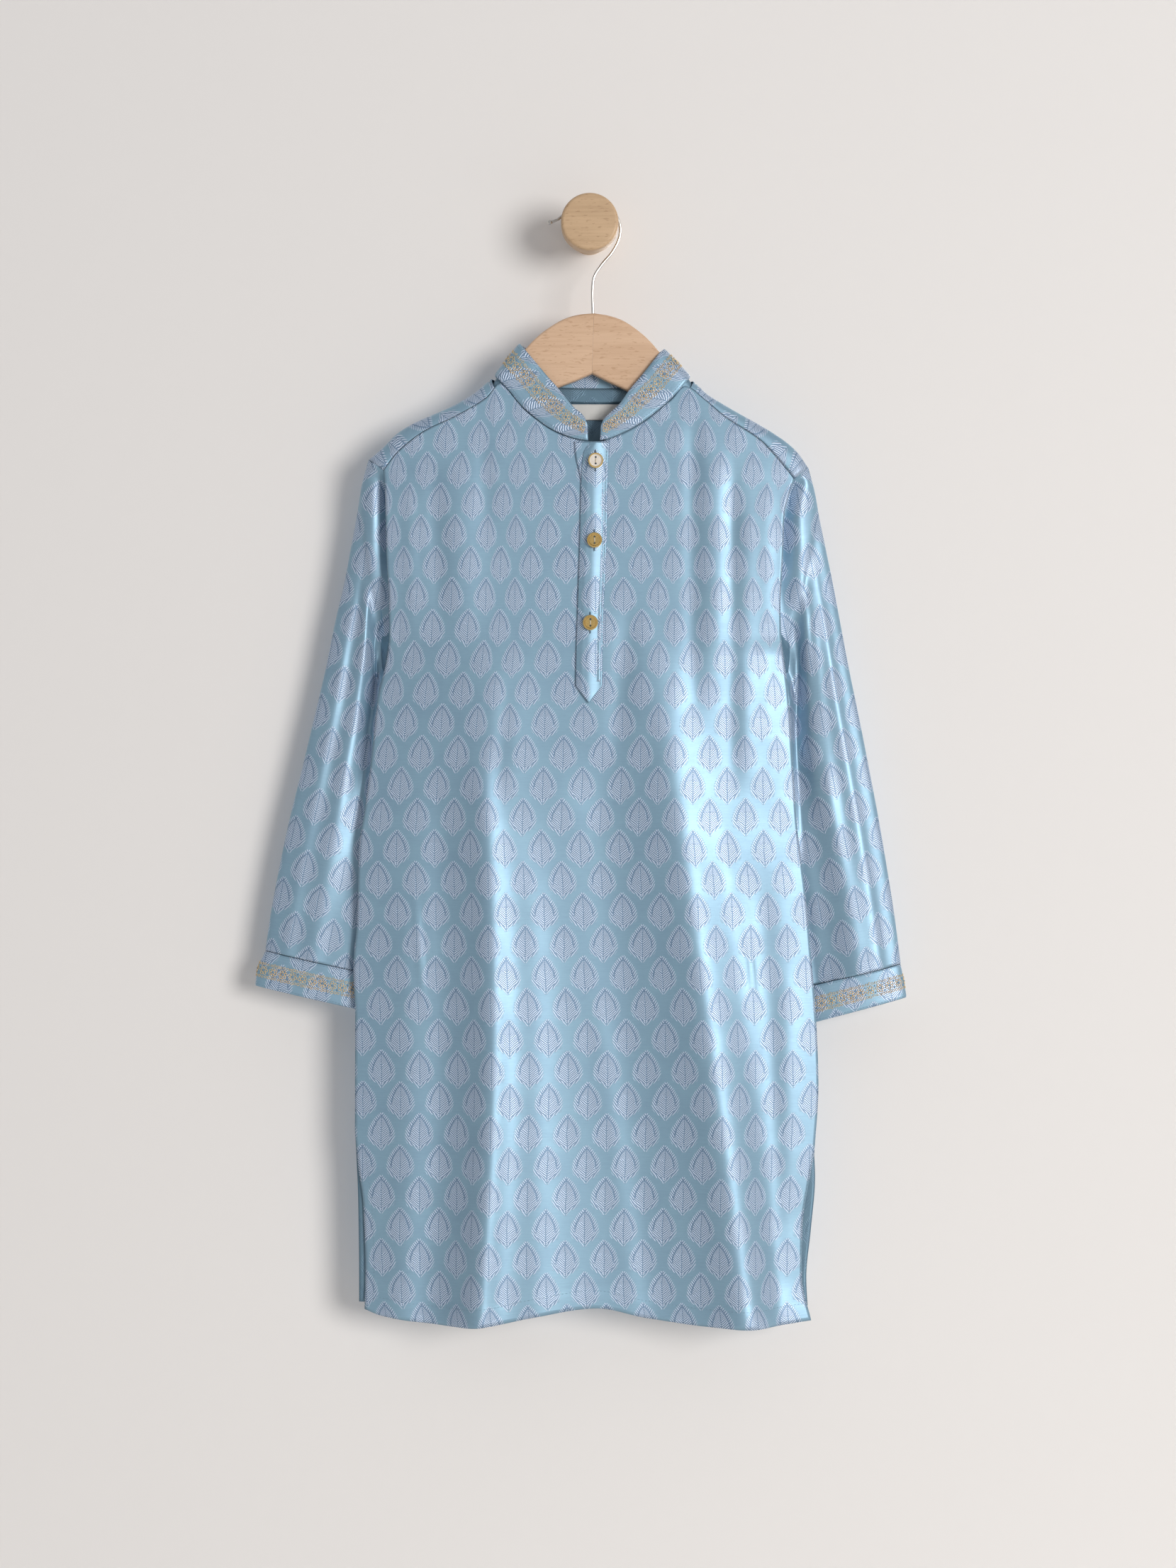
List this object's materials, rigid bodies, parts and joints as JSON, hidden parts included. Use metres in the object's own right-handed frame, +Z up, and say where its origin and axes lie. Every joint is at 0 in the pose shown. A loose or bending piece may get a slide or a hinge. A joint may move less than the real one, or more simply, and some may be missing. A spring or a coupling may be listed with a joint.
{
  "type": "kurta on a hanger and wall peg",
  "caption": "Child's long-sleeved kurta of figured satin with stand collar, pointed front placket and side slits, hung on a wooden hanger over a turned wall peg.",
  "frame": {"origin": "middle of the peg's back face, where it is fixed to the wall", "axes": "+Z up, +Y into the wall, +X to the right of someone who looks at the wall"},
  "size_m": [0.496, 0.063, 0.8523],
  "materials": {
    "satin": "woven leaf figure on a satin ground, soft sheen",
    "embroidered_band": "satin covered with gold thread embroidery",
    "label": "plain woven ribbon, blank",
    "gilt": "polished gilt",
    "hanger_wood": "pale beech, satin varnish",
    "peg_wood": "turned beech, matt",
    "hook_steel": "nickel plated wire"
  },
  "bodies": {
    "root": {"front": "satin", "yoke": "satin", "back": "satin", "sleeve_head_left": "satin", "sleeve_head_right": "satin", "sleeve_left": "satin", "sleeve_right": "satin", "cuff_left": "embroidered_band", "cuff_right": "embroidered_band", "collar": "embroidered_band", "underlap": "satin", "placket": "satin", "neck_label": "label", "pocket_bag_left": "satin", "pocket_bag_right": "satin", "button_1": "gilt", "button_2": "gilt", "button_3": "gilt", "hanger_left": "hanger_wood", "hanger_right": "hanger_wood", "hanger_hook": "hook_steel", "wall_peg": "peg_wood"}
  },
  "joints": []
}
